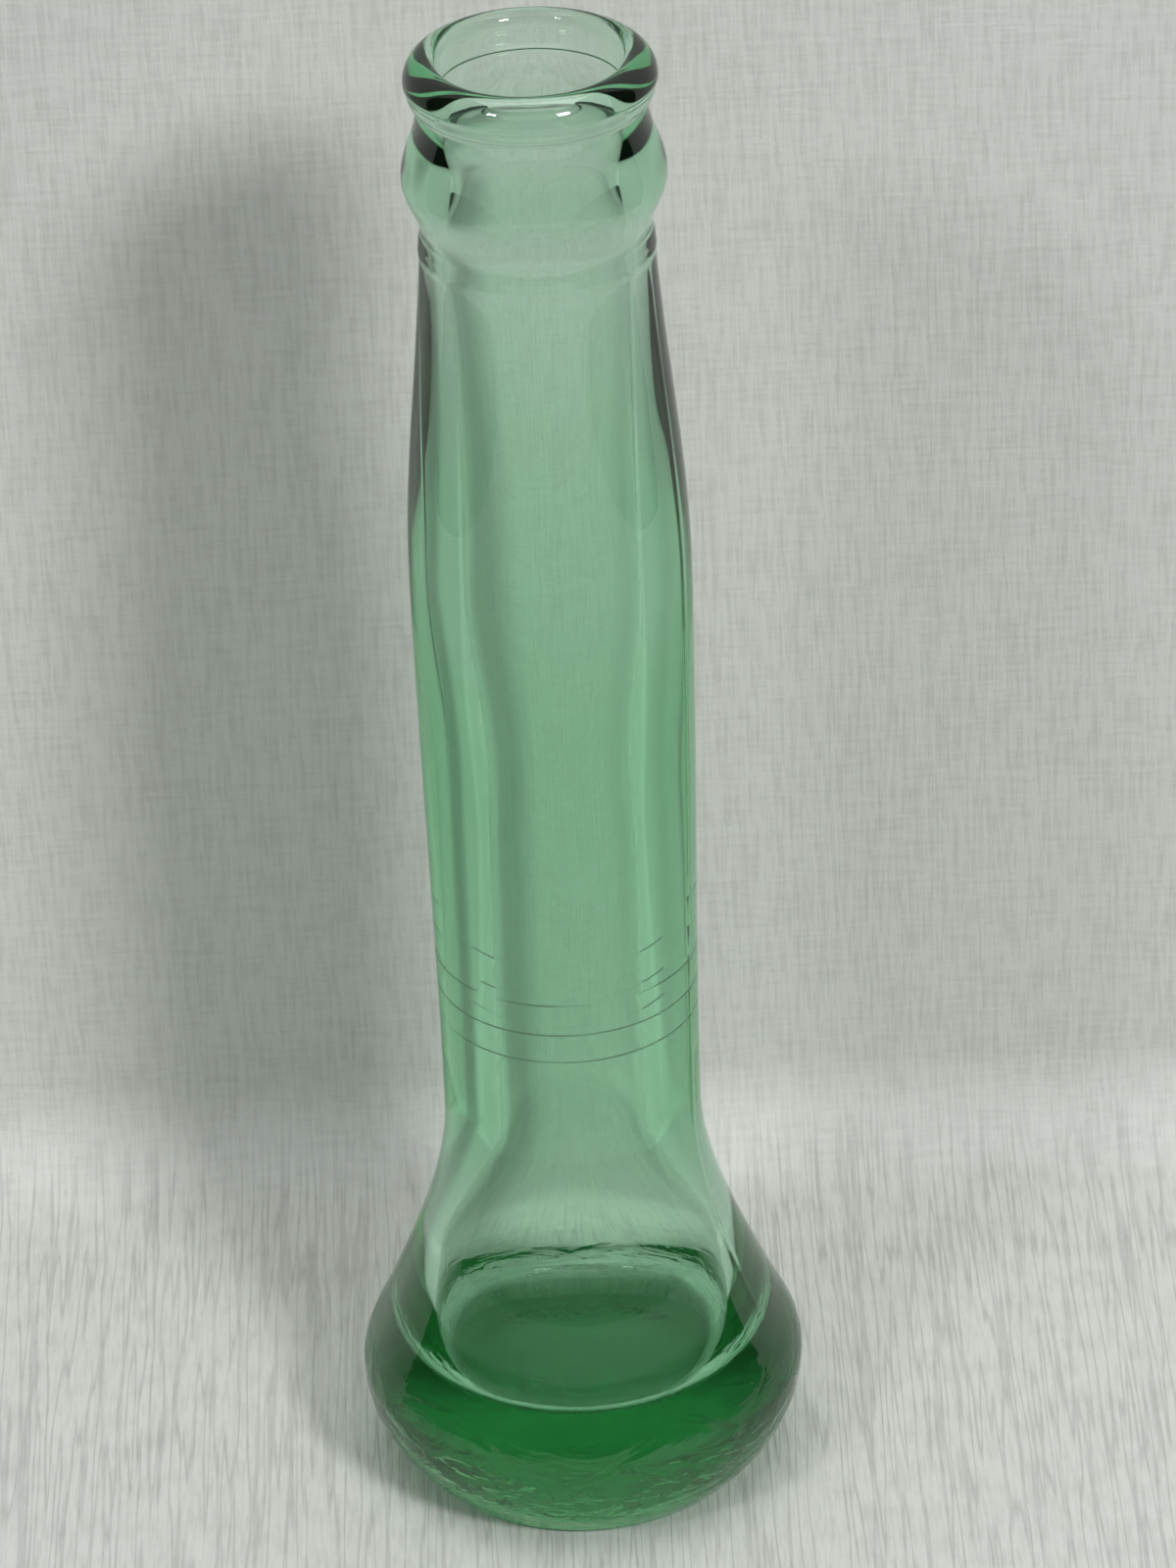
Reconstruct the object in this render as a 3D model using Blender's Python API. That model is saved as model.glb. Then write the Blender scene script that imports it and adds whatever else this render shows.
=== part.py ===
"""A slender glass bottle with a rounded lip, a heavy neck ring and a flared, solid foot.

The bottle stands on the ring under its foot, with its axis on +Z and the middle of that ring at
the origin. All sizes are in metres. It is one piece of glass, so it is one closed body: the
outside, the underside, the cavity and the bore are one turned outline.
"""

import math

import bmesh
import bpy

# How finely the outline is turned and how finely its curves are divided.
TURN_STEPS = 48
CREST_STEPS = 4
EDGE_STEPS = 3
FLANK_STEPS = 5
NECK_STEPS = 6
BODY_STEPS = 6
FLARE_STEPS = 6
KNEE_STEPS = 3
HEEL_STEPS = 6
CORNER_STEPS = 2
FLOOR_STEPS = 5
PUSH_UP_STEPS = 3

# The bore, and the lip around it. A wall is measured outwards from the bore.
BORE_RADIUS = 0.0094
BORE_DEPTH = 0.0063
MOUTH_SPREAD = 0.0002
MOUTH_ROUND = 0.0007
LIP_WALL = 0.0039
LIP_HEIGHT = 0.0050
LIP_CREST_HEIGHT = 0.0025
LIP_TAPER = 0.00025
LIP_EDGE_ROUND = 0.0008

# The groove under the lip, the heavy ring, and the band where the neck mould meets the body mould.
GROOVE_WALL = 0.00274
GROOVE_HEIGHT = 0.0010
RING_WALL = 0.00453
RING_UPPER_HEIGHT = 0.0076
RING_LOWER_HEIGHT = 0.0058
NOTCH_WALL = 0.00286
BAND_HEIGHT = 0.0034
BAND_SHOULDER_HEIGHT = 0.0004
BAND_WALL = 0.00306
BAND_CROWN = 0.00008

# The outside from the neck down to the foot: heights of the stretches, and radii between them.
NECK_HEIGHT = 0.0371
BODY_HEIGHT = 0.0673
FLARE_HEIGHT = 0.0267
KNEE_HEIGHT = 0.0073
HEEL_HEIGHT = 0.0122
NECK_TAPER_DEGREES = 3.1
SWELL_RADIUS = 0.01518
WAIST_RADIUS = 0.01426
FOOT_RADIUS = 0.02488
KNEE_INSET = 0.00274
KNEE_SLOPE_DEGREES = 24.0

# The underside: a tight corner, a flat ring to stand on, and a shallow push-up inside it.
# An inset is measured inwards from the widest place of the foot.
CORNER_INSET = 0.00528
CORNER_HEIGHT = 0.00082
CORNER_SLOPE_DEGREES = 44.1
REST_INSET = 0.00639
REST_WIDTH = 0.0020
PUSH_UP_HEIGHT = 0.0016

# The cavity: how much wider the neck is than the bore, then the walls, the straight narrow stretch
# above the waist, the bell-shaped lower part that follows the flare, and the floor with its
# rounded edge.
NECK_RELIEF = 0.00025
BORE_STEP_HEIGHT = 0.0006
SWELL_WALL = 0.0056
WAIST_WALL = 0.0063
NARROW_HEIGHT = 0.0400
BELL_DROP = 0.0187
BELL_INSET = 0.01018
BELL_SLOPE_DEGREES = 19.1
CAVITY_FOOT_WALL = 0.00768
FLOOR_THICKNESS = 0.0140
FLOOR_FILLET_WIDTH = 0.0026
FLOOR_FILLET_HEIGHT = 0.0025

# Levels above the ground where one stretch of the outside meets the next, from the foot up.
FOOT_LEVEL = HEEL_HEIGHT
KNEE_LEVEL = FOOT_LEVEL + KNEE_HEIGHT
WAIST_LEVEL = KNEE_LEVEL + FLARE_HEIGHT
SWELL_LEVEL = WAIST_LEVEL + BODY_HEIGHT
NECK_LEVEL = SWELL_LEVEL + NECK_HEIGHT
BAND_LEVEL = NECK_LEVEL + BAND_HEIGHT
RING_LEVEL = BAND_LEVEL + RING_LOWER_HEIGHT
GROOVE_LEVEL = RING_LEVEL + RING_UPPER_HEIGHT
LIP_LEVEL = GROOVE_LEVEL + GROOVE_HEIGHT
TOP_LEVEL = LIP_LEVEL + LIP_HEIGHT

# The crest is the top circle of the lip, where the outside and the cavity meet.
MOUTH_RADIUS = BORE_RADIUS + MOUTH_SPREAD
CREST_RADIUS = MOUTH_RADIUS + MOUTH_ROUND

# Two corners closer than this are one corner.
MERGE_DISTANCE = 0.000001

GLASS_COLOUR = (0.42, 0.62, 0.49, 1.0)
GLASS_ROUGHNESS = 0.04
GLASS_IOR = 1.52
SHARP_DEGREES = 40.0


def shares(steps):
    """Even shares of a stretch, from just past its start to its end."""
    return [step / steps for step in range(1, steps + 1)]


def line(end):
    """A straight stretch needs only its end."""
    return [end]


def arc(start, end, steps, level_first):
    """A quarter of an ellipse that leaves the start level, or upright, and ends the other way."""
    points = []
    for share in shares(steps):
        angle = share * math.pi / 2
        across = math.sin(angle) if level_first else 1 - math.cos(angle)
        along = 1 - math.cos(angle) if level_first else math.sin(angle)
        radius = start[0] + (end[0] - start[0]) * across
        height = start[1] + (end[1] - start[1]) * along
        points.append((radius, height))
    return points


def flank(start, end, steps):
    """One side of a ring: it leaves the start upright and comes back upright at the end."""
    points = []
    for share in shares(steps):
        eased = (1 - math.cos(share * math.pi)) / 2
        radius = start[0] + (end[0] - start[0]) * eased
        height = start[1] + (end[1] - start[1]) * share
        points.append((radius, height))
    return points


def sweep(start, end, steps, start_slope=0.0, end_slope=0.0):
    """A smooth wall between two radii, with the growth of the radius per height at both ends."""
    rise = end[1] - start[1]
    points = []
    for share in shares(steps):
        square = share ** 2
        cube = share ** 3
        radius = (
            (2 * cube - 3 * square + 1) * start[0]
            + (cube - 2 * square + share) * rise * start_slope
            + (3 * square - 2 * cube) * end[0]
            + (cube - square) * rise * end_slope
        )
        points.append((radius, start[1] + rise * share))
    return points


def bend(start, corner, end, steps):
    """A rounding between two straight stretches that would meet in the corner."""
    points = []
    for share in shares(steps):
        rest = 1 - share
        radius = rest ** 2 * start[0] + 2 * rest * share * corner[0] + share ** 2 * end[0]
        height = rest ** 2 * start[1] + 2 * rest * share * corner[1] + share ** 2 * end[1]
        points.append((radius, height))
    return points


def dome(rim, height, steps):
    """A shallow dome from its rim to the axis."""
    points = []
    for share in shares(steps):
        radius = rim[0] * (1 - share)
        rise = height * (1 - (1 - share) ** 2)
        points.append((radius, rim[1] + rise))
    return points


def finish_outline():
    """The outside from the crest of the lip down to the foot of the band."""
    lip_radius = BORE_RADIUS + LIP_WALL
    groove_radius = BORE_RADIUS + GROOVE_WALL
    band_radius = BORE_RADIUS + BAND_WALL
    band_top = BAND_LEVEL - BAND_SHOULDER_HEIGHT

    widest = (lip_radius, TOP_LEVEL - LIP_CREST_HEIGHT)
    lip_edge = (lip_radius - LIP_TAPER, LIP_LEVEL + LIP_EDGE_ROUND)
    ring_peak = (BORE_RADIUS + RING_WALL, RING_LEVEL)
    notch = (BORE_RADIUS + NOTCH_WALL, BAND_LEVEL)
    band_middle = (band_radius + BAND_CROWN, (NECK_LEVEL + band_top) / 2)

    points = [(CREST_RADIUS, TOP_LEVEL)]
    points += arc(points[-1], widest, CREST_STEPS, level_first=True)
    points += line(lip_edge)
    points += arc(points[-1], (groove_radius, LIP_LEVEL), EDGE_STEPS, level_first=False)
    points += line((groove_radius, GROOVE_LEVEL))
    points += flank(points[-1], ring_peak, FLANK_STEPS)
    points += flank(points[-1], notch, FLANK_STEPS)
    points += line((band_radius, band_top))
    points += line(band_middle)
    points += line((band_radius, NECK_LEVEL))
    return points


def body_outline(start):
    """The outside from the foot of the band down to the flat ring and the push-up inside it."""
    neck_slope = -math.tan(math.radians(NECK_TAPER_DEGREES))
    knee_slope = -math.tan(math.radians(KNEE_SLOPE_DEGREES))
    corner_slope = math.tan(math.radians(CORNER_SLOPE_DEGREES))
    knee = (FOOT_RADIUS - KNEE_INSET, KNEE_LEVEL)
    corner_top = (FOOT_RADIUS - CORNER_INSET, CORNER_HEIGHT)
    corner = (corner_top[0] - CORNER_HEIGHT * corner_slope, 0.0)
    rest_radius = FOOT_RADIUS - REST_INSET

    points = sweep(start, (SWELL_RADIUS, SWELL_LEVEL), NECK_STEPS, start_slope=neck_slope)
    points += sweep(points[-1], (WAIST_RADIUS, WAIST_LEVEL), BODY_STEPS)
    points += sweep(points[-1], knee, FLARE_STEPS, end_slope=knee_slope)
    points += sweep(points[-1], (FOOT_RADIUS, FOOT_LEVEL), KNEE_STEPS, start_slope=knee_slope)
    points += sweep(points[-1], corner_top, HEEL_STEPS, end_slope=corner_slope)
    points += bend(points[-1], corner, (rest_radius, 0.0), CORNER_STEPS)
    points += line((rest_radius - REST_WIDTH, 0.0))
    points += dome(points[-1], PUSH_UP_HEIGHT, PUSH_UP_STEPS)
    return points


def cavity_outline():
    """The inside from the crest of the lip down the bore, the neck and the body to the floor."""
    bore_end = TOP_LEVEL - BORE_DEPTH
    neck_radius = BORE_RADIUS + NECK_RELIEF
    narrow_radius = WAIST_RADIUS - WAIST_WALL
    bell_slope = -math.tan(math.radians(BELL_SLOPE_DEGREES))
    bell = (FOOT_RADIUS - BELL_INSET, WAIST_LEVEL - BELL_DROP)
    foot_radius = FOOT_RADIUS - CAVITY_FOOT_WALL
    foot = (foot_radius, FLOOR_THICKNESS + FLOOR_FILLET_HEIGHT)
    floor_edge = (foot_radius - FLOOR_FILLET_WIDTH, FLOOR_THICKNESS)

    points = arc((CREST_RADIUS, TOP_LEVEL), (MOUTH_RADIUS, TOP_LEVEL - MOUTH_ROUND), EDGE_STEPS,
                 level_first=True)
    points += line((BORE_RADIUS, bore_end))
    points += line((neck_radius, bore_end - BORE_STEP_HEIGHT))
    points += line((neck_radius, NECK_LEVEL))
    points += sweep(points[-1], (SWELL_RADIUS - SWELL_WALL, SWELL_LEVEL), NECK_STEPS)
    points += sweep(points[-1], (narrow_radius, WAIST_LEVEL + NARROW_HEIGHT), BODY_STEPS)
    points += line((narrow_radius, WAIST_LEVEL))
    points += sweep(points[-1], bell, FLARE_STEPS, end_slope=bell_slope)
    points += sweep(points[-1], foot, KNEE_STEPS, start_slope=bell_slope)
    points += arc(points[-1], floor_edge, FLOOR_STEPS, level_first=False)
    points += line((0.0, FLOOR_THICKNESS))
    return points


def clear_scene():
    """Remove whatever the file holds before the bottle is made."""
    for item in list(bpy.data.objects):
        bpy.data.objects.remove(item, do_unlink=True)


def glass_material():
    """Clear glass with a pale green body colour."""
    material = bpy.data.materials.new("bottle_green_glass")
    material.use_nodes = True
    shader = material.node_tree.nodes["Principled BSDF"]
    shader.inputs["Base Color"].default_value = GLASS_COLOUR
    shader.inputs["Roughness"].default_value = GLASS_ROUGHNESS
    shader.inputs["Metallic"].default_value = 0.0
    shader.inputs["IOR"].default_value = GLASS_IOR
    shader.inputs["Transmission Weight"].default_value = 1.0
    return material


def turned(name, outline, material):
    """Turn an outline that starts and ends on the axis into one closed body."""
    mesh = bpy.data.meshes.new(name)
    work = bmesh.new()
    corners = [work.verts.new((radius, 0.0, height)) for radius, height in outline]
    edges = [work.edges.new(pair) for pair in zip(corners, corners[1:])]
    bmesh.ops.spin(
        work,
        geom=corners + edges,
        cent=(0.0, 0.0, 0.0),
        axis=(0.0, 0.0, 1.0),
        angle=2 * math.pi,
        steps=TURN_STEPS,
        use_merge=True,
    )
    bmesh.ops.remove_doubles(work, verts=work.verts, dist=MERGE_DISTANCE)
    bmesh.ops.recalc_face_normals(work, faces=work.faces)
    work.to_mesh(mesh)
    work.free()
    mesh.materials.append(material)
    mesh.shade_smooth()
    mesh.set_sharp_from_angle(angle=math.radians(SHARP_DEGREES))
    body = bpy.data.objects.new(name, mesh)
    bpy.context.scene.collection.objects.link(body)
    return body


def bottle_outline():
    """The whole outline: from the middle of the underside up the outside and down the cavity."""
    outside = finish_outline()
    outside += body_outline(outside[-1])
    return outside[::-1] + cavity_outline()


clear_scene()
turned("glass_bottle", bottle_outline(), glass_material())
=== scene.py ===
"""The green glass bottle as it is photographed, on a pale sheet with a woven emboss.

The part, read from model.glb, gives the bottle's place and its box. The bottle is turned again
here, far more finely than the part, so that light bends smoothly through the glass, and the marks
of the mould and of use are worked into its surface. The sizes are the part's, apart from the
roundings of the lip, the step in the bore and the shoulder of the band, which are softer here.
All sizes are in metres.
"""

import math

import bpy
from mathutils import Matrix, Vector


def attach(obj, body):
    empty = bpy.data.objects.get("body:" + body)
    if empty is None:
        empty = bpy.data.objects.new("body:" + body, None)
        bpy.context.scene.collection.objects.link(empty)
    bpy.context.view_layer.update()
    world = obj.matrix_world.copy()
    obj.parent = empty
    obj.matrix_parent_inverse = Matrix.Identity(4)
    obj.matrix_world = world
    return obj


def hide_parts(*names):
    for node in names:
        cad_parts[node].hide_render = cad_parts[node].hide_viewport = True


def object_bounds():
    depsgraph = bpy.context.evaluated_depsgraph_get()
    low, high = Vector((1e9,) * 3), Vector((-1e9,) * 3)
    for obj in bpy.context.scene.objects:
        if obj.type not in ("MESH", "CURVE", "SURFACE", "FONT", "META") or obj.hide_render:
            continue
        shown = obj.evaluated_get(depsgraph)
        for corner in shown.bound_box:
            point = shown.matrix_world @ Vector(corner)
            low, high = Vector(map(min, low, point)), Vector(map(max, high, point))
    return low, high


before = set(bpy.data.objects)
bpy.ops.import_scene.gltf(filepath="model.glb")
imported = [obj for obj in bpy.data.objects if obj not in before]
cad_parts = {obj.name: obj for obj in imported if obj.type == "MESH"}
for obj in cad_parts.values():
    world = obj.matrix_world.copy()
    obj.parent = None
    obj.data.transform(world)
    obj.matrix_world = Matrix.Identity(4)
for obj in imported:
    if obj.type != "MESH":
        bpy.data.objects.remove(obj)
CAD_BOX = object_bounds()

# The lip and the bore. A wall is measured outwards from the bore.
TOP_LEVEL = CAD_BOX[1][2]
BORE_RADIUS = 0.0094
BORE_DEPTH = 0.0063
BORE_STEP_HEIGHT = 0.0060
MOUTH_SPREAD = 0.0002
MOUTH_ROUND = 0.0012
LIP_WALL = 0.0039
LIP_HEIGHT = 0.0050
LIP_CREST_HEIGHT = 0.0028
LIP_TAPER = 0.00025
LIP_EDGE_ROUND = 0.0016

# The groove under the lip, the heavy ring, and the band where two moulds met.
GROOVE_WALL = 0.00274
GROOVE_HEIGHT = 0.0010
RING_WALL = 0.00453
RING_UPPER_HEIGHT = 0.0076
RING_LOWER_HEIGHT = 0.0058
NOTCH_WALL = 0.00286
BAND_HEIGHT = 0.0034
BAND_SHOULDER_HEIGHT = 0.0016
BAND_WALL = 0.00306
BAND_CROWN = 0.00008

# The outside from the neck down to the foot. An inset is measured inwards from the widest place.
NECK_HEIGHT = 0.0371
BODY_HEIGHT = 0.0673
KNEE_HEIGHT = 0.0073
HEEL_HEIGHT = 0.0122
NECK_TAPER_DEGREES = 3.1
SWELL_RADIUS = 0.01518
WAIST_RADIUS = 0.01426
FOOT_RADIUS = CAD_BOX[1][0]
KNEE_INSET = 0.00274
KNEE_SLOPE_DEGREES = 24.0
CORNER_INSET = 0.00528
CORNER_HEIGHT = 0.00082
CORNER_SLOPE_DEGREES = 44.1
REST_INSET = 0.00639
REST_WIDTH = 0.0020
PUSH_UP_HEIGHT = 0.0016

# The cavity: its neck, its walls, the straight narrow stretch above the waist, the bell that
# follows the flare, and the floor.
NECK_RELIEF = 0.00025
SWELL_WALL = 0.0056
WAIST_WALL = 0.0063
NARROW_HEIGHT = 0.0400
BELL_DROP = 0.0187
BELL_INSET = 0.01018
BELL_SLOPE_DEGREES = 19.1
CAVITY_FOOT_WALL = 0.00768
FLOOR_THICKNESS = 0.0140
FLOOR_FILLET_WIDTH = 0.0026
FLOOR_FILLET_HEIGHT = 0.0025

# Levels where one stretch of the outside meets the next, from the top down.
LIP_LEVEL = TOP_LEVEL - LIP_HEIGHT
GROOVE_LEVEL = LIP_LEVEL - GROOVE_HEIGHT
RING_LEVEL = GROOVE_LEVEL - RING_UPPER_HEIGHT
BAND_LEVEL = RING_LEVEL - RING_LOWER_HEIGHT
NECK_LEVEL = BAND_LEVEL - BAND_HEIGHT
SWELL_LEVEL = NECK_LEVEL - NECK_HEIGHT
WAIST_LEVEL = SWELL_LEVEL - BODY_HEIGHT
FOOT_LEVEL = HEEL_HEIGHT
KNEE_LEVEL = FOOT_LEVEL + KNEE_HEIGHT

# How finely the cavity is divided, from the mouth down to the floor.
MOUTH_STEPS = 8
BORE_STEPS = 4
RELIEF_STEPS = 6
CAVITY_NECK_STEPS = 6
CAVITY_SWELL_STEPS = 16
NARROWING_STEPS = 10
NARROW_STEPS = 10
BELL_STEPS = 16
CAVITY_FOOT_STEPS = 8
FILLET_STEPS = 12
FLOOR_STEPS = 16

# How finely the outside is divided, from the crest of the lip down to the push-up.
CREST_STEPS = 12
LIP_SIDE_STEPS = 3
LIP_EDGE_STEPS = 6
GROOVE_STEPS = 2
RING_STEPS = 12
BAND_STEPS = 3
NECK_STEPS = 14
BODY_STEPS = 14
FLARE_STEPS = 16
KNEE_STEPS = 20
HEEL_STEPS = 34
CORNER_STEPS = 5
REST_STEPS = 4
PUSH_UP_STEPS = 10

# The turning. Two points closer than the close distance are one point.
TURN_STEPS = 320
CLOSE_DISTANCE = 0.0000002

# The marks of the mould: ribs under the foot, whose heights vary about a mean share, two seams, a
# slow ripple of the walls, which the outside takes only a share of, and wrinkles round the foot.
RIB_COUNT = 80
RIB_HEIGHT = 0.00007
RIB_MEAN_SHARE = 0.4
RIB_WORN_SHARE = 0.3
SEAM_HEIGHT = 0.00006
SEAM_WIDTH = 0.00060
SEAM_DEGREES = 158.0
RIPPLE_HEIGHT = 0.00005
RIPPLE_SIZE = 0.0085
RIPPLE_STRETCH = 3.0
OUTSIDE_RIPPLE_SHARE = 0.35
WRINKLE_HEIGHT = 0.00008
WRINKLE_SIZE = 0.0020
WRINKLE_STRETCH = 5.0
GLASS_SEED = 4.0

# The marks of use: scars on the cavity's floor, and scratched rings on the body, which are broken
# where a slow noise runs from the first of two values to the second.
SCAR_HEIGHT = 0.00006
SCAR_SIZE = 0.0030
SCRATCH_DEPTH = 0.000012
SCRATCH_WIDTH = 0.00018
SCRATCH_LEVELS = (0.0665, 0.0627, 0.05925)
SCRATCH_OFFSETS = (-1.0, -0.5, 0.0, 0.5, 1.0)
SCRATCH_BREAKS = (-0.25, 0.15)
SCRATCH_SEED_STEP = 5.0

# How many finer layers each noise in the surface has.
RIB_DETAIL = 1.0
RIPPLE_DETAIL = 1.5
SCAR_DETAIL = 2.0
WRINKLE_DETAIL = 1.0
SCRATCH_DETAIL = 0.0

# The glass: its colour lies in its depth, and its underside is stippled. The scale of a noise in a
# material is in hills per metre.
GLASS_IOR = 1.52
DEPTH_COLOUR = (0.13, 0.7525, 0.375, 1.0)
DEPTH_DENSITY = 74.0
STIPPLE_SCALE = 900.0
STIPPLE_DETAIL = 2.0
STIPPLE_ROUGHNESS = 0.30
STIPPLE_GRAIN = 0.30

# Scuffs in the scratched rings. They lie on the outside of the body, from the front to just behind
# its middle, and break where the noise runs from the first of two values to the second.
SCUFF_COLOUR = (0.03, 0.05, 0.03, 1.0)
SCUFF_ROUGHNESS = 0.5
SCUFF_SCALE = 90.0
SCUFF_DETAIL = 1.0
SCUFF_BREAKS = (0.40, 0.50)
SCUFF_BACK_PLACE = WAIST_RADIUS / 8
SCUFF_INNER_RADIUS = WAIST_RADIUS - WAIST_WALL / 4
SCUFF_OUTER_RADIUS = WAIST_RADIUS - WAIST_WALL / 8

# Smears round the foot, where the glass was chilled.
SMEAR_SQUEEZE = (0.45, 0.45, 1.0)
SMEAR_SCALE = 300.0
SMEAR_DETAIL = 3.0
SMEAR_DISTORTION = 1.2
SMEAR_EDGES = (0.54, 0.64)
SMEAR_ROUGHNESS = 0.30
SMEAR_STRENGTH = 0.6
SMEAR_DEPTH = 0.0008

# Streaks of greener glass that run down the bottle.
STREAK_SQUEEZE = (1.0, 1.0, 0.2)
STREAK_SCALE = 160.0
STREAK_DETAIL = 3.0
STREAK_CLEAR = (1.0, 1.0, 1.0, 1.0)
STREAK_GREEN = (0.93, 0.97, 0.93, 1.0)

# How often a ray of light may bend or bounce in the glass.
LIGHT_BOUNCES = 24

# The camera of the photograph.
CAMERA_PLACE = (0.0, -0.74725, 0.52172)
CAMERA_TURN_DEGREES = (59.725, 1.973, -1.387)
CAMERA_LENS = 182.83
CAMERA_SENSOR = 36.0
CAMERA_NEAR = 0.01

# The studio sheet: a floor that bends up behind the bottle.
SHEET_HALF_WIDTH = 0.30
SHEET_FRONT = -0.60
SHEET_BEND_START = 0.048
SHEET_BEND_RADIUS = 0.012
SHEET_BACK_HEIGHT = 0.42
SHEET_BEND_STEPS = 24

# The weave in the sheet: threads that run up it and across it, and its darkest and palest tones.
SHEET_ROUGHNESS = 0.6
THREAD_DETAIL = 2.0
UP_THREAD_SQUEEZE = (1.0, 0.09, 0.09)
UP_THREAD_SCALE = 2100.0
UP_THREAD_SHARE = 0.65
CROSS_THREAD_SQUEEZE = (0.12, 0.12, 1.0)
CROSS_THREAD_SCALE = 2000.0
CROSS_THREAD_SHARE = 0.35
WEAVE_DARK_PLACE = 0.34
WEAVE_DARK = (0.585, 0.60, 0.57, 1.0)
WEAVE_PALE_PLACE = 0.57
WEAVE_PALE = (0.680, 0.695, 0.665, 1.0)
WEAVE_STRENGTH = 0.7
WEAVE_DEPTH = 0.0003

# Fine groove lines that run over the floor towards the backdrop and fade out in the bend, and the
# painted shade that darkens the sheet's colour along them.
GROOVE_SQUEEZE = (1.0, 0.035, 0.035)
GROOVE_SCALE = 800.0
GROOVE_DETAIL = 1.0
GROOVE_MIDDLE = 0.5
GROOVE_REACH = 0.06
# How much painted shade darkens the sheet's colour in the groove lines.
GROOVE_PAINTED_SHADE = 0.20

# The lamps: name, direction from the bottle, side in metres and power in watts. They all aim at one
# height on the bottle's axis.
LAMP_DISTANCE = 1.2
LAMP_AIM_HEIGHT = 0.09
LAMPS = (
    ("window", (0.412, -0.686, 0.600), 0.20, 7.4),
    ("left_lamp", (-0.492, -0.587, 0.643), 0.14, 2.3),
    ("ceiling", (0.0, -0.12, 1.0), 1.00, 6.8),
)

# The room: its tone level with the table and, from a place on, overhead.
ROOM_LOW_PLACE = 0.0
ROOM_LOW = (0.045, 0.05, 0.045, 1.0)
ROOM_HIGH_PLACE = 0.9
ROOM_HIGH = (0.10, 0.105, 0.105, 1.0)


def shares(steps):
    """Even shares of a stretch, from just past its start to its end."""
    return [step / steps for step in range(1, steps + 1)]


def arc(start, end, steps, level_first):
    """A quarter of an ellipse that leaves the start level, or upright, and ends the other way."""
    points = []
    for share in shares(steps):
        angle = share * math.pi / 2
        across = math.sin(angle) if level_first else 1 - math.cos(angle)
        along = 1 - math.cos(angle) if level_first else math.sin(angle)
        radius = start[0] + (end[0] - start[0]) * across
        height = start[1] + (end[1] - start[1]) * along
        points.append((radius, height))
    return points


def flank(start, end, steps):
    """One side of a ring: it leaves the start upright and comes back upright at the end."""
    points = []
    for share in shares(steps):
        eased = (1 - math.cos(share * math.pi)) / 2
        radius = start[0] + (end[0] - start[0]) * eased
        height = start[1] + (end[1] - start[1]) * share
        points.append((radius, height))
    return points


def straight(start, end, steps):
    """A straight stretch in even steps."""
    return [
        (start[0] + (end[0] - start[0]) * share, start[1] + (end[1] - start[1]) * share)
        for share in shares(steps)
    ]


def sweep(start, end, places, start_slope=0.0, end_slope=0.0):
    """A smooth wall between two radii, with the growth of the radius per height at both ends."""
    rise = end[1] - start[1]
    points = []
    for share in places:
        square = share ** 2
        cube = share ** 3
        radius = (
            (2 * cube - 3 * square + 1) * start[0]
            + (cube - 2 * square + share) * rise * start_slope
            + (3 * square - 2 * cube) * end[0]
            + (cube - square) * rise * end_slope
        )
        points.append((radius, start[1] + rise * share))
    return points


def bend(start, corner, end, steps):
    """A rounding between two straight stretches that would meet in the corner."""
    points = []
    for share in shares(steps):
        rest = 1 - share
        radius = rest ** 2 * start[0] + 2 * rest * share * corner[0] + share ** 2 * end[0]
        height = rest ** 2 * start[1] + 2 * rest * share * corner[1] + share ** 2 * end[1]
        points.append((radius, height))
    return points


def dome(rim, height, steps):
    """A shallow dome from its rim to the axis."""
    points = []
    for share in shares(steps):
        rise = height * (1 - (1 - share) ** 2)
        points.append((rim[0] * (1 - share), rim[1] + rise))
    return points


def scratched_places(steps):
    """Places down the body: even ones, and close ones across each scratched ring."""
    places = shares(steps)
    for level in SCRATCH_LEVELS:
        for offset in SCRATCH_OFFSETS:
            places.append((SWELL_LEVEL - level + offset * SCRATCH_WIDTH) / BODY_HEIGHT)
    return sorted(places)


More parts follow.
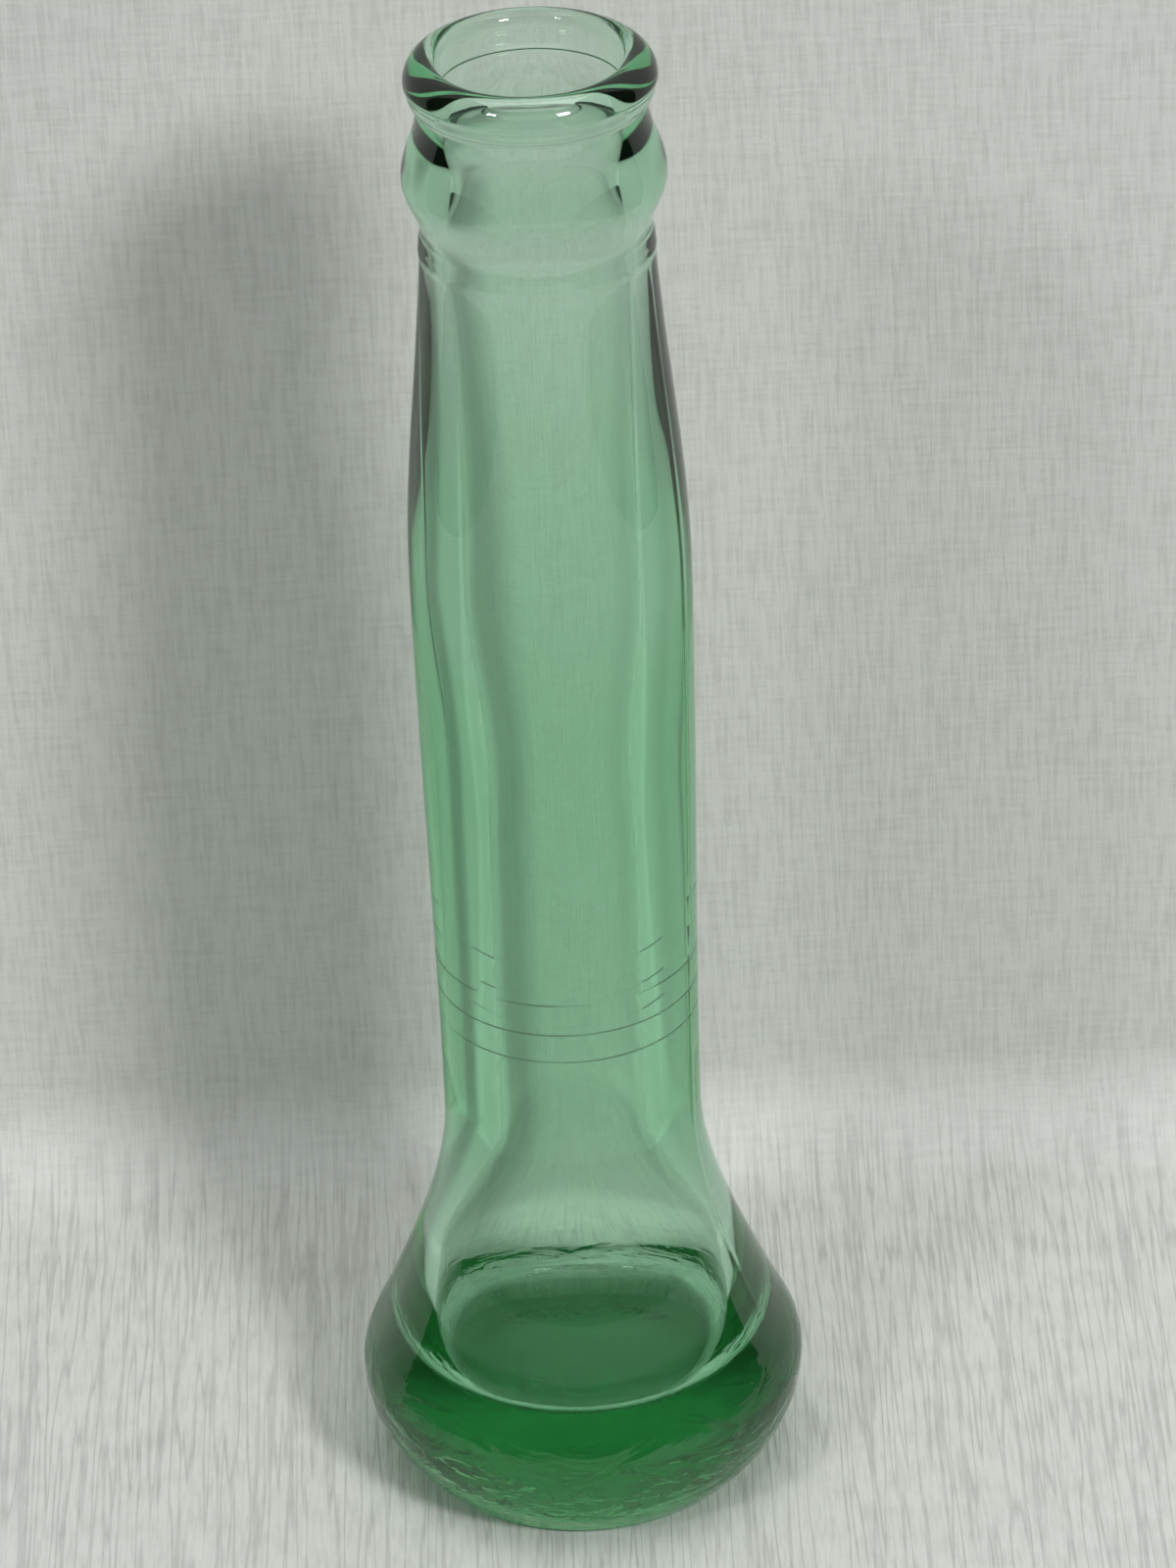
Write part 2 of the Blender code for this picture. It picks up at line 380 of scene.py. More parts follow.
def cavity_outline():
    """The inside from just past the crest of the lip down to the axis on the cavity's floor."""
    mouth_radius = BORE_RADIUS + MOUTH_SPREAD
    crest = (mouth_radius + MOUTH_ROUND, TOP_LEVEL)
    bore_end = TOP_LEVEL - BORE_DEPTH
    neck_radius = BORE_RADIUS + NECK_RELIEF
    swell = (SWELL_RADIUS - SWELL_WALL, SWELL_LEVEL)
    narrow_radius = WAIST_RADIUS - WAIST_WALL
    narrow_top = (narrow_radius, WAIST_LEVEL + NARROW_HEIGHT)
    bell_slope = -math.tan(math.radians(BELL_SLOPE_DEGREES))
    bell = (FOOT_RADIUS - BELL_INSET, WAIST_LEVEL - BELL_DROP)
    foot_radius = FOOT_RADIUS - CAVITY_FOOT_WALL
    foot = (foot_radius, FLOOR_THICKNESS + FLOOR_FILLET_HEIGHT)
    floor_edge = (foot_radius - FLOOR_FILLET_WIDTH, FLOOR_THICKNESS)

    points = arc(crest, (mouth_radius, TOP_LEVEL - MOUTH_ROUND), MOUTH_STEPS, level_first=True)
    points += straight(points[-1], (BORE_RADIUS, bore_end), BORE_STEPS)
    points += flank(points[-1], (neck_radius, bore_end - BORE_STEP_HEIGHT), RELIEF_STEPS)
    points += straight(points[-1], (neck_radius, NECK_LEVEL), CAVITY_NECK_STEPS)
    points += sweep(points[-1], swell, shares(CAVITY_SWELL_STEPS))
    points += sweep(points[-1], narrow_top, shares(NARROWING_STEPS))
    points += straight(points[-1], (narrow_radius, WAIST_LEVEL), NARROW_STEPS)
    points += sweep(points[-1], bell, shares(BELL_STEPS), end_slope=bell_slope)
    points += sweep(points[-1], foot, shares(CAVITY_FOOT_STEPS), start_slope=bell_slope)
    points += arc(points[-1], floor_edge, FILLET_STEPS, level_first=False)
    points += straight(points[-1], (0.0, FLOOR_THICKNESS), FLOOR_STEPS)
    return points


def outside_outline():
    """The outside from the crest of the lip down to the axis under the foot."""
    crest = (BORE_RADIUS + MOUTH_SPREAD + MOUTH_ROUND, TOP_LEVEL)
    lip_radius = BORE_RADIUS + LIP_WALL
    lip_edge = (lip_radius - LIP_TAPER, LIP_LEVEL + LIP_EDGE_ROUND)
    groove_radius = BORE_RADIUS + GROOVE_WALL
    band_radius = BORE_RADIUS + BAND_WALL
    band_top = BAND_LEVEL - BAND_SHOULDER_HEIGHT
    band_middle = (band_radius + BAND_CROWN, (NECK_LEVEL + band_top) / 2)
    neck_slope = -math.tan(math.radians(NECK_TAPER_DEGREES))
    knee = (FOOT_RADIUS - KNEE_INSET, KNEE_LEVEL)
    knee_slope = -math.tan(math.radians(KNEE_SLOPE_DEGREES))
    corner_slope = math.tan(math.radians(CORNER_SLOPE_DEGREES))
    corner_top = (FOOT_RADIUS - CORNER_INSET, CORNER_HEIGHT)
    corner = (corner_top[0] - CORNER_HEIGHT * corner_slope, 0.0)
    rest_radius = FOOT_RADIUS - REST_INSET

    points = [crest]
    points += arc(points[-1], (lip_radius, TOP_LEVEL - LIP_CREST_HEIGHT), CREST_STEPS, level_first=True)
    points += straight(points[-1], lip_edge, LIP_SIDE_STEPS)
    points += arc(points[-1], (groove_radius, LIP_LEVEL), LIP_EDGE_STEPS, level_first=False)
    points += straight(points[-1], (groove_radius, GROOVE_LEVEL), GROOVE_STEPS)
    points += flank(points[-1], (BORE_RADIUS + RING_WALL, RING_LEVEL), RING_STEPS)
    points += flank(points[-1], (BORE_RADIUS + NOTCH_WALL, BAND_LEVEL), RING_STEPS)
    points += flank(points[-1], (band_radius, band_top), BAND_STEPS)
    points += flank(points[-1], band_middle, BAND_STEPS)
    points += flank(points[-1], (band_radius, NECK_LEVEL), BAND_STEPS)
    points += sweep(points[-1], (SWELL_RADIUS, SWELL_LEVEL), shares(NECK_STEPS), start_slope=neck_slope)
    points += sweep(points[-1], (WAIST_RADIUS, WAIST_LEVEL), scratched_places(BODY_STEPS))
    points += sweep(points[-1], knee, shares(FLARE_STEPS), end_slope=knee_slope)
    points += sweep(points[-1], (FOOT_RADIUS, FOOT_LEVEL), shares(KNEE_STEPS), start_slope=knee_slope)
    points += sweep(points[-1], corner_top, shares(HEEL_STEPS), end_slope=corner_slope)
    points += bend(points[-1], corner, (rest_radius, 0.0), CORNER_STEPS)
    points += straight(points[-1], (rest_radius - REST_WIDTH, 0.0), REST_STEPS)
    points += dome(points[-1], PUSH_UP_HEIGHT, PUSH_UP_STEPS)
    return points


def outline_leans(outline):
    """The way out of the glass at each point of an outline that keeps the glass on its right."""
    leans = []
    for index in range(len(outline)):
        before = outline[max(index - 1, 0)]
        after = outline[min(index + 1, len(outline) - 1)]
        lean = Vector((before[1] - after[1], 0.0, after[0] - before[0])).normalized()
        if outline[index][0] == 0.0:
            lean = Vector((0.0, 0.0, math.copysign(1.0, lean.z)))
        leans.append(lean)
    return leans


def mould_marks(radius, height, inside):
    """How much of the ribs, of the ripple and of the mould seams a point of the outline takes."""
    under = not inside and height < PUSH_UP_HEIGHT and radius < FOOT_RADIUS - CORNER_INSET
    rest_middle = FOOT_RADIUS - REST_INSET - REST_WIDTH / 2
    ribs = max(0.0, 1 - abs(radius - rest_middle) / REST_WIDTH) if under else 0.0
    ripple = 1.0 if inside else 0.0 if under else OUTSIDE_RIPPLE_SHARE
    body = not inside and KNEE_LEVEL < height < NECK_LEVEL
    return Vector((ribs, ripple, 1.0 if body else 0.0))


def wear_marks(radius, height, inside):
    """How much of the floor's scars, the scratched rings and the foot's wrinkles a point takes."""
    on_floor = inside and height < FLOOR_THICKNESS + FLOOR_FILLET_HEIGHT / 2
    scratch = 0.0
    if not inside:
        for level in SCRATCH_LEVELS:
            scratch = max(scratch, 1 - abs(height - level) / SCRATCH_WIDTH)
    wrinkle = 0.0
    if not inside and radius > FOOT_RADIUS - CORNER_INSET:
        wrinkle = min(1.0, height / CORNER_HEIGHT - 1, (KNEE_LEVEL - height) / KNEE_HEIGHT)
    return Vector((1.0 if on_floor else 0.0, max(scratch, 0.0), max(wrinkle, 0.0)))


def outline_mesh():
    """The bottle's outline as a chain of points that carry what the turning needs to know."""
    cavity = cavity_outline()[::-1]
    outline = cavity + outside_outline()
    mesh = bpy.data.meshes.new("bottle_outline")
    chain = [(index, index + 1) for index in range(len(outline) - 1)]
    mesh.from_pydata([(radius, 0.0, height) for radius, height in outline], chain, [])
    lean = mesh.attributes.new("lean", "FLOAT_VECTOR", "POINT")
    marks = mesh.attributes.new("mould_marks", "FLOAT_VECTOR", "POINT")
    wear = mesh.attributes.new("wear_marks", "FLOAT_VECTOR", "POINT")
    for index, direction in enumerate(outline_leans(outline)):
        radius, height = outline[index]
        inside = index < len(cavity)
        lean.data[index].vector = direction
        marks.data[index].vector = mould_marks(radius, height, inside)
        wear.data[index].vector = wear_marks(radius, height, inside)
    return mesh


class Wiring:
    """Adds nodes to a tree and joins them, so that a tree reads like a sum."""

    def __init__(self, tree):
        self.tree = tree

    def feed(self, socket, value):
        """Join an output to a socket, or set the socket's own value."""
        if isinstance(value, bpy.types.NodeSocket):
            self.tree.links.new(value, socket)
        else:
            socket.default_value = value

    def node(self, kind, inputs=(), **settings):
        """A node with its settings and its inputs, by place or by name."""
        node = self.tree.nodes.new(kind)
        for name, value in settings.items():
            setattr(node, name, value)
        pairs = inputs.items() if isinstance(inputs, dict) else enumerate(inputs)
        for key, value in pairs:
            self.feed(node.inputs[key], value)
        return node

    def sum(self, operation, *values):
        """One step of arithmetic with numbers."""
        return self.node("ShaderNodeMath", values, operation=operation).outputs[0]

    def vector(self, operation, *values):
        """One step of arithmetic with vectors."""
        node = self.node("ShaderNodeVectorMath", operation=operation)
        names = ("Vector", "Scale") if operation == "SCALE" else range(len(values))
        for name, value in zip(names, values):
            self.feed(node.inputs[name], value)
        return node.outputs["Value" if operation == "LENGTH" else "Vector"]

    def noise(self, place, scale, detail, **more):
        """Noise between about 0 and 1."""
        values = {"Vector": place, "Scale": scale, "Detail": detail, **more}
        return self.node("ShaderNodeTexNoise", values).outputs[0]

    def ramped(self, value, low, high, at_low=0.0, at_high=1.0):
        """A value turned into a share: even from one end to the other, and held past both."""
        return self.node("ShaderNodeMapRange", [value, low, high, at_low, at_high]).outputs[0]

    def mixed(self, share, first, second):
        """A colour between two, by a share."""
        node = self.node("ShaderNodeMix", data_type="RGBA")
        self.feed(node.inputs["Factor"], share)
        self.feed(node.inputs["A"], first)
        self.feed(node.inputs["B"], second)
        return node.outputs["Result"]

    def parts(self, vector):
        """The three numbers in a vector."""
        return self.node("ShaderNodeSeparateXYZ", [vector]).outputs

    def joined(self, x, y, z):
        """A vector from three numbers."""
        return self.node("ShaderNodeCombineXYZ", [x, y, z]).outputs[0]


TURNING_INPUTS = (
    ("Turn Steps", "NodeSocketInt", TURN_STEPS),
    ("Rib Count", "NodeSocketFloat", RIB_COUNT),
    ("Rib Height", "NodeSocketFloat", RIB_HEIGHT),
    ("Seam Height", "NodeSocketFloat", SEAM_HEIGHT),
    ("Seam Width", "NodeSocketFloat", SEAM_WIDTH),
    ("Seam Angle", "NodeSocketFloat", math.radians(SEAM_DEGREES)),
    ("Ripple Height", "NodeSocketFloat", RIPPLE_HEIGHT),
    ("Ripple Size", "NodeSocketFloat", RIPPLE_SIZE),
    ("Ripple Stretch", "NodeSocketFloat", RIPPLE_STRETCH),
    ("Scar Height", "NodeSocketFloat", SCAR_HEIGHT),
    ("Scar Size", "NodeSocketFloat", SCAR_SIZE),
    ("Wrinkle Height", "NodeSocketFloat", WRINKLE_HEIGHT),
    ("Wrinkle Size", "NodeSocketFloat", WRINKLE_SIZE),
    ("Wrinkle Stretch", "NodeSocketFloat", WRINKLE_STRETCH),
    ("Scratch Depth", "NodeSocketFloat", SCRATCH_DEPTH),
    ("Seed", "NodeSocketFloat", GLASS_SEED),
    ("Close Distance", "NodeSocketFloat", CLOSE_DISTANCE),
)


def sampled(wiring, outline, name, index):
    """A vector that the outline carries at a point, or the point's own place."""
    if name:
        source = wiring.node("GeometryNodeInputNamedAttribute", [name], data_type="FLOAT_VECTOR")
    else:
        source = wiring.node("GeometryNodeInputPosition")
    reader = wiring.node("GeometryNodeSampleIndex", data_type="FLOAT_VECTOR", domain="POINT")
    wiring.feed(reader.inputs["Geometry"], outline)
    wiring.feed(reader.inputs["Value"], source.outputs[0])
    wiring.feed(reader.inputs["Index"], index)
    return reader.outputs["Value"]


def unevenness(wiring, place, size, seed, detail):
    """Noise between about -1 and 1 whose hills are as wide as the size."""
    noise = wiring.node("ShaderNodeTexNoise", noise_dimensions="4D")
    wiring.feed(noise.inputs["Vector"], place)
    wiring.feed(noise.inputs["W"], seed)
    wiring.feed(noise.inputs["Scale"], wiring.sum("DIVIDE", 1.0, size))
    wiring.feed(noise.inputs["Detail"], detail)
    return wiring.sum("MULTIPLY_ADD", noise.outputs[0], 2.0, -1.0)


def turning_tree():
    """Turns the outline about the axis and works the marks of the mould and of use into it."""
    tree = bpy.data.node_groups.new("turned_glass", "GeometryNodeTree")
    tree.interface.new_socket("Outline", in_out="INPUT", socket_type="NodeSocketGeometry")
    for name, kind, _value in TURNING_INPUTS:
        tree.interface.new_socket(name, in_out="INPUT", socket_type=kind)
    tree.interface.new_socket("Glass", in_out="INPUT", socket_type="NodeSocketMaterial")
    tree.interface.new_socket("Bottle", in_out="OUTPUT", socket_type="NodeSocketGeometry")
    wiring = Wiring(tree)
    given = wiring.node("NodeGroupInput").outputs
    outline = given["Outline"]

    # A sheet of points: one row along the outline for each step of the turn.
    size = wiring.node("GeometryNodeAttributeDomainSize", [outline], component="MESH")
    count = size.outputs["Point Count"]
    rows = wiring.sum("ADD", given["Turn Steps"], 1.0)
    grid = wiring.node("GeometryNodeMeshGrid", {
        "Size X": 1.0, "Size Y": 1.0, "Vertices X": count, "Vertices Y": rows,
    })
    flat = wiring.parts(wiring.node("GeometryNodeInputPosition").outputs[0])
    along = wiring.sum("MULTIPLY", wiring.sum("ADD", flat[0], 0.5), wiring.sum("SUBTRACT", count, 1.0))
    index = wiring.sum("ROUND", along)
    angle = wiring.sum("MULTIPLY", wiring.sum("ADD", flat[1], 0.5), 2 * math.pi)
    cosine = wiring.sum("COSINE", angle)
    sine = wiring.sum("SINE", angle)
    point = wiring.parts(sampled(wiring, outline, "", index))
    lean = wiring.parts(sampled(wiring, outline, "lean", index))
    marks = wiring.parts(sampled(wiring, outline, "mould_marks", index))
    wear = wiring.parts(sampled(wiring, outline, "wear_marks", index))
    place = wiring.joined(wiring.sum("MULTIPLY", point[0], cosine),
                          wiring.sum("MULTIPLY", point[0], sine), point[2])
    outwards = wiring.joined(wiring.sum("MULTIPLY", lean[0], cosine),
                             wiring.sum("MULTIPLY", lean[0], sine), lean[2])

    # Ribs under the foot, each a little taller or lower than the next.
    worn = unevenness(wiring, place, given["Scar Size"], given["Seed"], RIB_DETAIL)
    wave = wiring.sum("SINE", wiring.sum("MULTIPLY", angle, given["Rib Count"]))
    rib_share = wiring.sum("MULTIPLY_ADD", worn, RIB_WORN_SHARE, RIB_MEAN_SHARE)
    rib = wiring.sum("MULTIPLY", wiring.sum("SUBTRACT", wave, 1.0), rib_share)
    ribs = wiring.sum("MULTIPLY", wiring.sum("MULTIPLY", rib, marks[0]), given["Rib Height"])

    # Two seams, opposite each other, where the halves of the mould met.
    seam_angle = wiring.sum("SUBTRACT", angle, given["Seam Angle"])
    from_seam = wiring.sum("MULTIPLY", point[0], wiring.sum("SINE", seam_angle))
    falling = wiring.sum("POWER", wiring.sum("DIVIDE", from_seam, given["Seam Width"]), 2.0)
    seam = wiring.sum("MAXIMUM", wiring.sum("SUBTRACT", 1.0, falling), 0.0)
    seams = wiring.sum("MULTIPLY", wiring.sum("MULTIPLY", seam, marks[2]), given["Seam Height"])

    # A slow ripple that runs down the walls, and scars on the cavity's floor.
    drawn_out = wiring.joined(1.0, 1.0, wiring.sum("DIVIDE", 1.0, given["Ripple Stretch"]))
    slow = wiring.vector("MULTIPLY", place, drawn_out)
    waves = unevenness(wiring, slow, given["Ripple Size"], given["Seed"], RIPPLE_DETAIL)
    ripple = wiring.sum("MULTIPLY", wiring.sum("SUBTRACT", waves, 1.0), marks[1])
    ripples = wiring.sum("MULTIPLY", ripple, given["Ripple Height"])
    pits = unevenness(wiring, place, given["Scar Size"], 0.0, SCAR_DETAIL)
    scar = wiring.sum("POWER", wiring.sum("ABSOLUTE", pits), 0.5)
    scars = wiring.sum("MULTIPLY", wiring.sum("MULTIPLY", scar, wear[0]), given["Scar Height"])

    # Wrinkles that run round the foot, where the glass met the cold mould.
    squeezed = wiring.sum("DIVIDE", 1.0, given["Wrinkle Stretch"])
    round_foot = wiring.vector("MULTIPLY", place, wiring.joined(squeezed, squeezed, 1.0))
    folds = unevenness(wiring, round_foot, given["Wrinkle Size"], given["Seed"], WRINKLE_DETAIL)
    wrinkle = wiring.sum("MULTIPLY", wiring.sum("SUBTRACT", folds, 1.0), wear[2])
    wrinkles = wiring.sum("MULTIPLY", wrinkle, given["Wrinkle Height"])

    # Scratched rings, broken here and there.
    scratch_seed = wiring.sum("ADD", given["Seed"], SCRATCH_SEED_STEP)
    broken = unevenness(wiring, place, given["Ripple Size"], scratch_seed, SCRATCH_DETAIL)
    kept = wiring.ramped(broken, SCRATCH_BREAKS[0], SCRATCH_BREAKS[1])
    scratches = wiring.sum("MULTIPLY", wiring.sum("MULTIPLY", wear[1], kept), given["Scratch Depth"])

    height = wiring.sum("ADD", wiring.sum("ADD", ribs, seams), wiring.sum("ADD", ripples, scars))
    height = wiring.sum("ADD", height, wiring.sum("SUBTRACT", wrinkles, scratches))
    moved = wiring.vector("ADD", place, wiring.vector("SCALE", outwards, height))
    turned = wiring.node("GeometryNodeSetPosition", {"Geometry": grid.outputs["Mesh"], "Position": moved})
    closed = wiring.node("GeometryNodeMergeByDistance", {
        "Geometry": turned.outputs[0], "Distance": given["Close Distance"],
    })
    smooth = wiring.node("GeometryNodeSetShadeSmooth", {
        "Geometry": closed.outputs[0], "Shade Smooth": True,
    })
    real = wiring.node("GeometryNodeRealizeInstances", [smooth.outputs[0]])
    glass = wiring.node("GeometryNodeSetMaterial", {
        "Geometry": real.outputs[0], "Material": given["Glass"],
    })
    result = wiring.node("NodeGroupOutput")
    wiring.feed(result.inputs[0], glass.outputs[0])
    return tree


def turned_bottle(material):
    """The bottle: its outline, turned and marked, as one closed mesh."""
    bottle = bpy.data.objects.new("green_glass_bottle", outline_mesh())
    bpy.context.scene.collection.objects.link(bottle)
    tree = turning_tree()
    turning = bottle.modifiers.new("turning", "NODES")
    turning.node_group = tree
    values = {name: value for name, _kind, value in TURNING_INPUTS}
    values["Glass"] = material
    for socket in tree.interface.items_tree:
        if socket.in_out == "INPUT" and socket.name in values:
            turning[socket.identifier] = values[socket.name]
    seen = bottle.evaluated_get(bpy.context.evaluated_depsgraph_get())
    mesh = bpy.data.meshes.new_from_object(seen)
    mesh.name = "green_glass_bottle"
    bottle.modifiers.remove(turning)
    bottle.data = mesh
    return bottle


def new_material(name):
    """A material with only an output and a Principled BSDF, and its wiring."""
    material = bpy.data.materials.new(name)
    material.use_nodes = True
    nodes = material.node_tree.nodes
    return material, nodes["Principled BSDF"], nodes["Material Output"], Wiring(material.node_tree)


def stipple_roughness(wiring, place, height, from_axis):
    """The underside is stippled, so it scatters the light that comes up from the sheet."""
    low = wiring.ramped(height, PUSH_UP_HEIGHT + CORNER_HEIGHT, PUSH_UP_HEIGHT)
    inner = wiring.ramped(from_axis, FOOT_RADIUS - CORNER_INSET, FOOT_RADIUS - REST_INSET)
    under = wiring.sum("MULTIPLY", low, inner)
    grain = wiring.noise(place, STIPPLE_SCALE, STIPPLE_DETAIL)
    dull = wiring.sum("MULTIPLY_ADD", grain, STIPPLE_GRAIN, STIPPLE_ROUGHNESS)
    return wiring.sum("MULTIPLY", under, dull)


def scuff_mask(wiring, place, height, from_axis):
    """Where the scratched rings are scuffed: outside, not at the back, and broken here and there."""
    rings = None
    for level in SCRATCH_LEVELS:
        away = wiring.sum("DIVIDE", wiring.sum("SUBTRACT", height, level), SCRATCH_WIDTH)
        ring = wiring.sum("MAXIMUM", wiring.sum("SUBTRACT", 1.0, wiring.sum("ABSOLUTE", away)), 0.0)
        rings = wiring.sum("ADD", rings, ring) if rings else ring
    outer = wiring.ramped(from_axis, SCUFF_INNER_RADIUS, SCUFF_OUTER_RADIUS)
    front = wiring.sum("LESS_THAN", wiring.parts(place)[1], SCUFF_BACK_PLACE)
    breaks = wiring.noise(place, SCUFF_SCALE, SCUFF_DETAIL)
    kept = wiring.ramped(breaks, SCUFF_BREAKS[0], SCUFF_BREAKS[1])
    on_body = wiring.sum("MULTIPLY", outer, front)
    return wiring.sum("MULTIPLY", wiring.sum("MULTIPLY", rings, on_body), kept)


def foot_mask(wiring, height, from_axis):
    """Where the outside of the foot is: below the knee and outside the standing ring."""
    below_knee = wiring.ramped(height, KNEE_LEVEL, FOOT_LEVEL)
    side = wiring.ramped(from_axis, FOOT_RADIUS - CORNER_INSET, FOOT_RADIUS - CORNER_INSET / 2)
    return wiring.sum("MULTIPLY", below_knee, side)


def glass_material():
    """Clear green glass: its colour is in its depth, so thick glass is deep green."""
    material, shader, output, wiring = new_material("bottle_green_glass")
    place = wiring.node("ShaderNodeTexCoord").outputs["Object"]
    parts = wiring.parts(place)
    height = parts[2]
    from_axis = wiring.vector("LENGTH", wiring.joined(parts[0], parts[1], 0.0))
    stipple = stipple_roughness(wiring, place, height, from_axis)
    scuff = scuff_mask(wiring, place, height, from_axis)

    # Dull, wrinkled smears that run round the foot.
    foot = foot_mask(wiring, height, from_axis)
    smear = wiring.noise(wiring.vector("MULTIPLY", place, SMEAR_SQUEEZE), SMEAR_SCALE, SMEAR_DETAIL,
                         Distortion=SMEAR_DISTORTION)
    dull = wiring.ramped(smear, SMEAR_EDGES[0], SMEAR_EDGES[1], 0.0, SMEAR_ROUGHNESS)
    smeared = wiring.sum("MULTIPLY_ADD", dull, foot, stipple)
    wiring.feed(shader.inputs["Roughness"], wiring.sum("MULTIPLY_ADD", scuff, SCUFF_ROUGHNESS, smeared))
    wrinkled = wiring.node("ShaderNodeBump", {
        "Height": wiring.sum("MULTIPLY", smear, foot),
        "Strength": SMEAR_STRENGTH,
        "Distance": SMEAR_DEPTH,
    })
    wiring.feed(shader.inputs["Normal"], wrinkled.outputs[0])

    # Faint streaks of paler and greener glass, and the grey of the scuffs.
    streak_place = wiring.vector("MULTIPLY", place, STREAK_SQUEEZE)
    streak = wiring.noise(streak_place, STREAK_SCALE, STREAK_DETAIL)
    tint = wiring.mixed(streak, STREAK_CLEAR, STREAK_GREEN)
    wiring.feed(shader.inputs["Base Color"], wiring.mixed(scuff, tint, SCUFF_COLOUR))

    shader.inputs["IOR"].default_value = GLASS_IOR
    shader.inputs["Transmission Weight"].default_value = 1.0
    depth = wiring.node("ShaderNodeVolumeAbsorption", {"Color": DEPTH_COLOUR, "Density": DEPTH_DENSITY})
    wiring.feed(output.inputs["Volume"], depth.outputs[0])
    return material


def two_tone_ramp(wiring, value, low_place, low, high_place, high):
    """A colour that runs from one tone to another."""
    tone = wiring.node("ShaderNodeValToRGB", [value])
    ends = tone.color_ramp.elements
    ends[0].position = low_place
    ends[0].color = low
    ends[1].position = high_place
    ends[1].color = high
    return tone.outputs[0]


def floor_grooves_and_painted_shade(wiring, place):
    """Fine groove lines over the floor that fade out where the sheet bends up, with painted shade in
    them.
    """
    squeezed = wiring.vector("MULTIPLY", place, GROOVE_SQUEEZE)
    groove = wiring.noise(squeezed, GROOVE_SCALE, GROOVE_DETAIL)
    from_groove = wiring.sum("ABSOLUTE", wiring.sum("SUBTRACT", groove, GROOVE_MIDDLE))
    # Painted shade and groove depth in one: strongest in the middle of each groove line.
    groove_depth_and_painted_shade = wiring.ramped(from_groove, 0.0, GROOVE_REACH, GROOVE_PAINTED_SHADE, 0.0)
    on_floor = wiring.ramped(wiring.parts(place)[2], SHEET_BEND_RADIUS / 2, 0.0)
    return wiring.sum("MULTIPLY", groove_depth_and_painted_shade, on_floor)


def sheet_material():
    """The pale sheet, embossed like a coarse weave, with painted shade darkened into its floor's groove
    lines.
    """
    material, shader, _output, wiring = new_material("woven_sheet")
    place = wiring.node("ShaderNodeTexCoord").outputs["Object"]
    up_place = wiring.vector("MULTIPLY", place, UP_THREAD_SQUEEZE)
    up = wiring.noise(up_place, UP_THREAD_SCALE, THREAD_DETAIL)
    cross_place = wiring.vector("MULTIPLY", place, CROSS_THREAD_SQUEEZE)
    across = wiring.noise(cross_place, CROSS_THREAD_SCALE, THREAD_DETAIL)
    up_part = wiring.sum("MULTIPLY", up, UP_THREAD_SHARE)
    weave = wiring.sum("MULTIPLY_ADD", across, CROSS_THREAD_SHARE, up_part)
    tone = two_tone_ramp(wiring, weave, WEAVE_DARK_PLACE, WEAVE_DARK, WEAVE_PALE_PLACE, WEAVE_PALE)
    groove_relief_and_shade = floor_grooves_and_painted_shade(wiring, place)
    # Painted shade: the sheet's colour is darkened along the groove lines.
    groove_shaded_tone = wiring.vector("SCALE", tone, wiring.sum("SUBTRACT", 1.0, groove_relief_and_shade))
    wiring.feed(shader.inputs["Base Color"], groove_shaded_tone)
    relief = wiring.node("ShaderNodeBump", {
        "Height": wiring.sum("SUBTRACT", weave, groove_relief_and_shade),
        "Strength": WEAVE_STRENGTH,
        "Distance": WEAVE_DEPTH,
    })
    wiring.feed(shader.inputs["Normal"], relief.outputs[0])
    shader.inputs["Roughness"].default_value = SHEET_ROUGHNESS
    return material


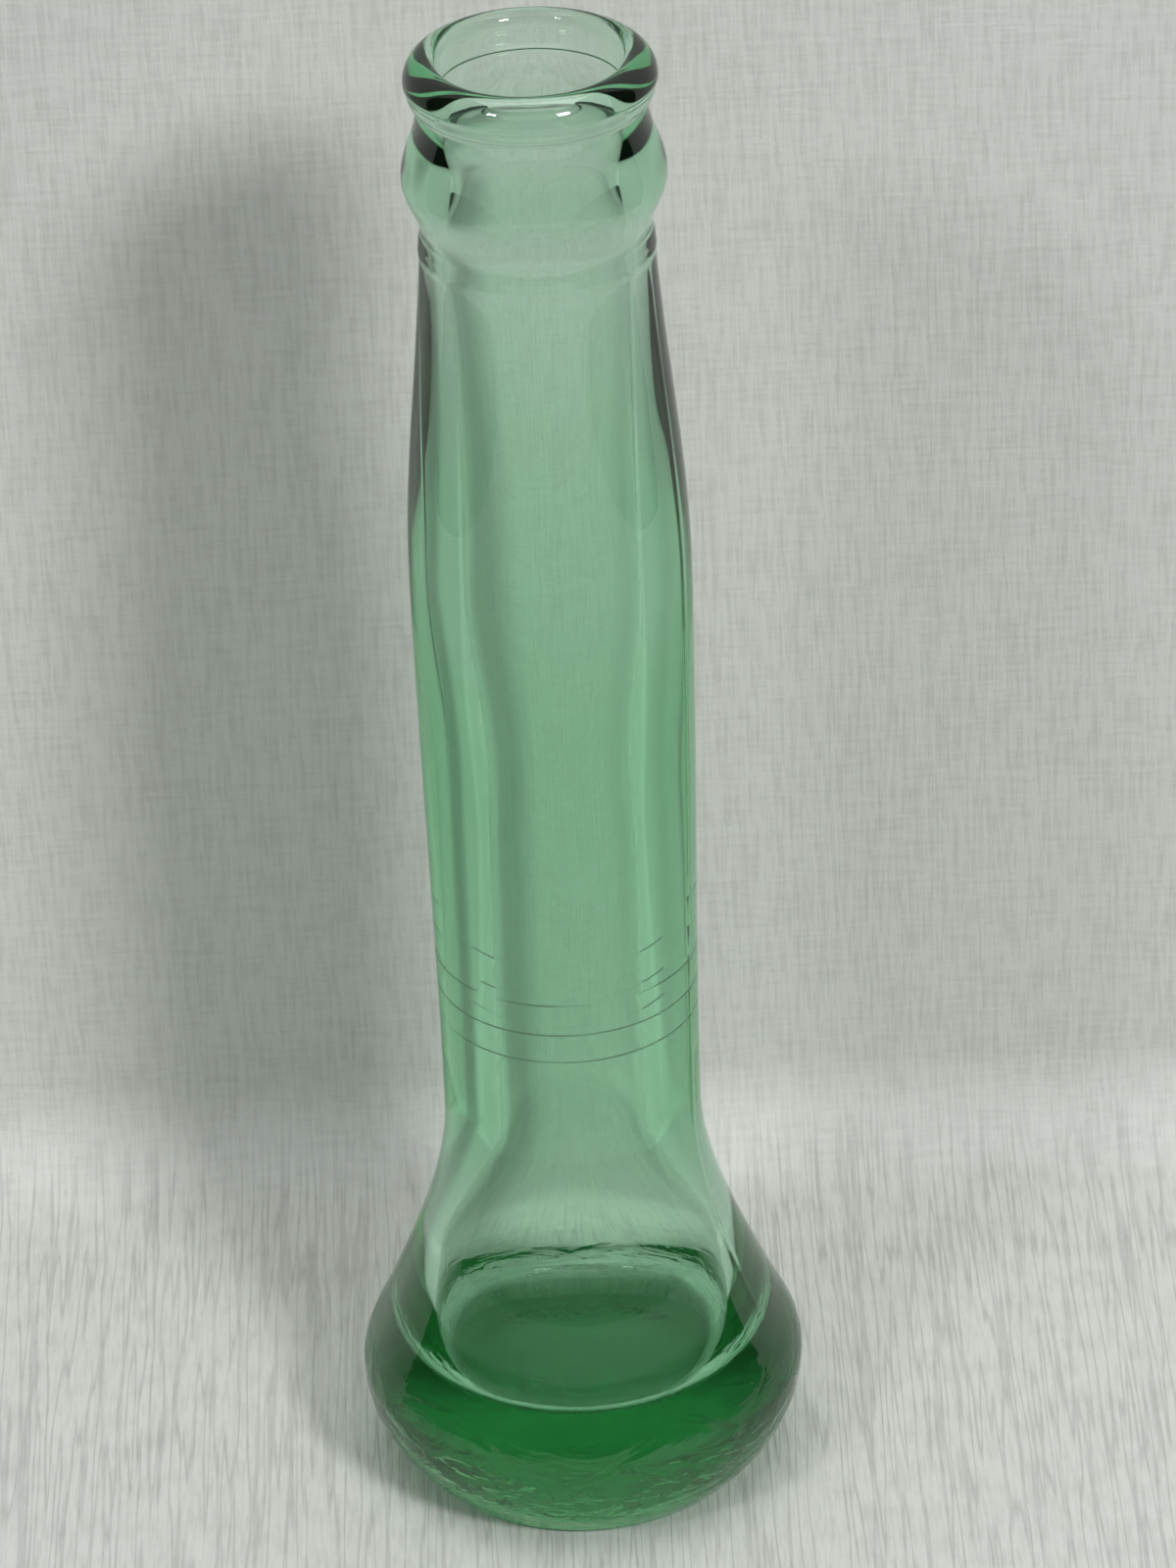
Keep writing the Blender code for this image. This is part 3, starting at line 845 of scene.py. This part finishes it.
def studio_sheet(material):
    """The floor and the backdrop as one bent sheet."""
    path = [(SHEET_FRONT, 0.0), (SHEET_BEND_START, 0.0)]
    for share in shares(SHEET_BEND_STEPS):
        angle = share * math.pi / 2
        path.append((SHEET_BEND_START + SHEET_BEND_RADIUS * math.sin(angle),
                     SHEET_BEND_RADIUS - SHEET_BEND_RADIUS * math.cos(angle)))
    path.append((path[-1][0], SHEET_BACK_HEIGHT))
    vertices = []
    for depth, height in path:
        vertices.append((-SHEET_HALF_WIDTH, depth, height))
        vertices.append((SHEET_HALF_WIDTH, depth, height))
    faces = [(2 * row, 2 * row + 1, 2 * row + 3, 2 * row + 2) for row in range(len(path) - 1)]
    mesh = bpy.data.meshes.new("studio_sheet")
    mesh.from_pydata(vertices, [], faces)
    mesh.materials.append(material)
    mesh.shade_smooth()
    sheet = bpy.data.objects.new("studio_sheet", mesh)
    bpy.context.scene.collection.objects.link(sheet)


def add_lamp(name, direction, side, power):
    """A soft square lamp that faces the bottle."""
    data = bpy.data.lights.new(name, "AREA")
    data.shape = "SQUARE"
    data.size = side
    data.energy = power
    lamp = bpy.data.objects.new(name, data)
    aim = Vector(direction).normalized()
    lamp.location = Vector((0.0, 0.0, LAMP_AIM_HEIGHT)) + aim * LAMP_DISTANCE
    lamp.rotation_euler = aim.to_track_quat("Z", "Y").to_euler()
    bpy.context.scene.collection.objects.link(lamp)


def add_camera():
    """The camera of the photograph."""
    data = bpy.data.cameras.new("camera")
    data.sensor_width = CAMERA_SENSOR
    data.lens = CAMERA_LENS
    data.clip_start = CAMERA_NEAR
    camera = bpy.data.objects.new("camera", data)
    camera.location = CAMERA_PLACE
    camera.rotation_euler = [math.radians(angle) for angle in CAMERA_TURN_DEGREES]
    bpy.context.scene.collection.objects.link(camera)
    bpy.context.scene.camera = camera


def set_world():
    """A plain room: brighter overhead than at the height of the table."""
    world = bpy.data.worlds.new("room")
    world.use_nodes = True
    wiring = Wiring(world.node_tree)
    way = wiring.parts(wiring.node("ShaderNodeTexCoord").outputs["Generated"])
    tone = two_tone_ramp(wiring, way[2], ROOM_LOW_PLACE, ROOM_LOW, ROOM_HIGH_PLACE, ROOM_HIGH)
    wiring.feed(world.node_tree.nodes["Background"].inputs["Color"], tone)
    bpy.context.scene.world = world


add_camera()
set_world()
bottle = turned_bottle(glass_material())
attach(bottle, "root")
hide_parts("glass_bottle")
studio_sheet(sheet_material())
for lamp in LAMPS:
    add_lamp(*lamp)
bpy.context.scene.view_settings.view_transform = "Standard"
bpy.context.scene.cycles.max_bounces = LIGHT_BOUNCES
bpy.context.scene.cycles.transmission_bounces = LIGHT_BOUNCES
bpy.context.scene.cycles.glossy_bounces = LIGHT_BOUNCES
